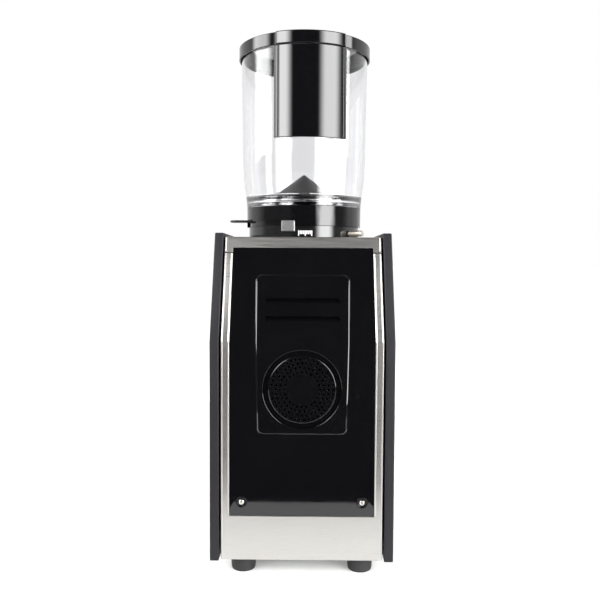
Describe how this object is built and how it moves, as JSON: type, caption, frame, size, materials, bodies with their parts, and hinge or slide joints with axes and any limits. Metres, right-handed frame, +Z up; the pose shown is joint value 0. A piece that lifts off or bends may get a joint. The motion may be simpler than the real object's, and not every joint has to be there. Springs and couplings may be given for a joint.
{
  "type": "burr coffee grinder",
  "caption": "On-demand flat burr coffee grinder with a clear bean hopper, gloss rear vent cover with round fan grille, steel shell, spout, portafilter fork and crumb tray.",
  "frame": {"origin": "middle of the footprint, on the surface under the feet", "axes": "+Z up, -Y towards the service side with the vent cover, +Y towards the serving side with the spout, +X to the right when the service side is faced"},
  "size_m": [0.2, 0.34, 0.605],
  "materials": {
    "zinc_steel": "zinc plated, satin",
    "rubber": "moulded, matte",
    "panel_grey": "fine powder coat",
    "stainless": "brushed across",
    "gloss_black": "polished moulding",
    "dark_metal": "black oxide",
    "bright_metal": "turned and plated",
    "black_paint": "satin powder coat",
    "display_glass": "clear cover glass over a dark screen",
    "satin_black": "fine moulded texture",
    "aluminium": "machined",
    "button_plastic": "moulded",
    "cast_aluminium": "as cast",
    "lamination": "stacked laminations",
    "winding": "enamelled copper wire",
    "burr_steel": "hardened and ground",
    "black_anodised": "black anodised",
    "white_ink": "printed",
    "clear_plastic": "clear moulded",
    "capacitor_shell": "drawn can",
    "circuit_board": "solder mask"
  },
  "bodies": {
    "chassis": {"base_plate": "zinc_steel", "feet": "rubber", "foot_screws": "zinc_steel", "pillars": "zinc_steel", "top_plate": "zinc_steel", "left_side_panel": "panel_grey", "right_side_panel": "panel_grey", "panel_spacers": "zinc_steel", "rear_shell": "stainless", "top_cover": "stainless", "cover_rails": "zinc_steel", "vent_cover": "gloss_black", "fan_grille": "gloss_black", "cup_washers": "dark_metal", "cover_screws": "bright_metal", "front_panel": "black_paint", "display_bezel": "gloss_black", "display_glass": "display_glass", "chute_housing": "satin_black", "chute_duct": "aluminium", "spout": "stainless", "portafilter_fork": "stainless", "fork_pads": "rubber", "fork_screws": "bright_metal", "button_collar": "satin_black", "microswitch": "satin_black", "switch_housing": "satin_black", "motor_housing": "aluminium", "end_bells": "cast_aluminium", "stator_core": "lamination", "stator_windings": "winding", "bearings": "bright_metal", "burr_chamber": "cast_aluminium", "burr_springs": "bright_metal", "fan_frame": "satin_black", "run_capacitor": "capacitor_shell", "control_board": "circuit_board", "cable_gland": "satin_black"},
    "rotor": {"motor_rotor": "lamination", "motor_shaft": "bright_metal", "burr_carrier": "aluminium", "lower_burr": "burr_steel", "burr_bolt": "bright_metal"},
    "fan": {"fan_rotor": "satin_black"},
    "upper_burr": {"upper_burr": "burr_steel", "upper_burr_carrier": "aluminium"},
    "collar": {"adjusting_collar": "black_anodised", "index_block": "aluminium", "scale_marks": "white_ink"},
    "lock_pin": {"lock_pin": "bright_metal"},
    "hopper": {"hopper_base": "gloss_black", "hopper": "clear_plastic", "spreader_cone": "gloss_black", "hopper_back_panel": "gloss_black"},
    "gate": {"gate_slide": "satin_black"},
    "lid": {"lid": "gloss_black", "lid_seal": "rubber"},
    "button": {"grind_button": "button_plastic"},
    "rocker": {"power_rocker": "gloss_black"},
    "tray": {"crumb_tray": "satin_black"}
  },
  "joints": [
    {"name": "motor_spin", "type": "hinge", "parent": "chassis", "child": "rotor", "pos_m": [0, -0.04, 0.2], "axis": [0, 0, 1], "continuous": true},
    {"name": "fan_spin", "type": "hinge", "parent": "chassis", "child": "fan", "pos_m": [0, -0.155, 0.209], "axis": [0, 1, 0], "continuous": true},
    {"name": "collar_turn", "type": "hinge", "parent": "chassis", "child": "collar", "pos_m": [0, -0.04, 0.38], "axis": [0, 0, 1], "range_deg": [-60, 60]},
    {"name": "upper_burr_shift", "type": "slide", "parent": "chassis", "child": "upper_burr", "axis": [0, 0, 1], "range_m": [-0.00035, 0.00035], "deforming": ["burr_springs"]},
    {"name": "lock_pull", "type": "slide", "parent": "collar", "child": "lock_pin", "axis": [0.7986, -0.6018, 0], "range_m": [0, 0.0025], "stiffness_N_per_m": 400, "springref_m": -0.004},
    {"name": "hopper_lift", "type": "slide", "parent": "collar", "child": "hopper", "axis": [0, 0, 1], "range_m": [0, 0.25]},
    {"name": "gate_pull", "type": "slide", "parent": "hopper", "child": "gate", "axis": [-0.9945, -0.1045, 0], "range_m": [0, 0.05]},
    {"name": "lid_lift", "type": "slide", "parent": "hopper", "child": "lid", "axis": [0, 0, 1], "range_m": [0, 0.12]},
    {"name": "button_press", "type": "slide", "parent": "chassis", "child": "button", "axis": [0, -1, 0], "range_m": [0, 0.003], "stiffness_N_per_m": 300, "springref_m": -0.003},
    {"name": "rocker_tilt", "type": "hinge", "parent": "chassis", "child": "rocker", "pos_m": [0.058, 0.066, 0.078], "axis": [1, 0, 0], "range_deg": [0, 16]},
    {"name": "tray_slide", "type": "slide", "parent": "chassis", "child": "tray", "axis": [0, 1, 0], "range_m": [0, 0.09]}
  ],
  "couplings": [
    {"joint": "upper_burr_shift", "follows": "collar_turn", "m_per_rad": 0.00031831}
  ]
}
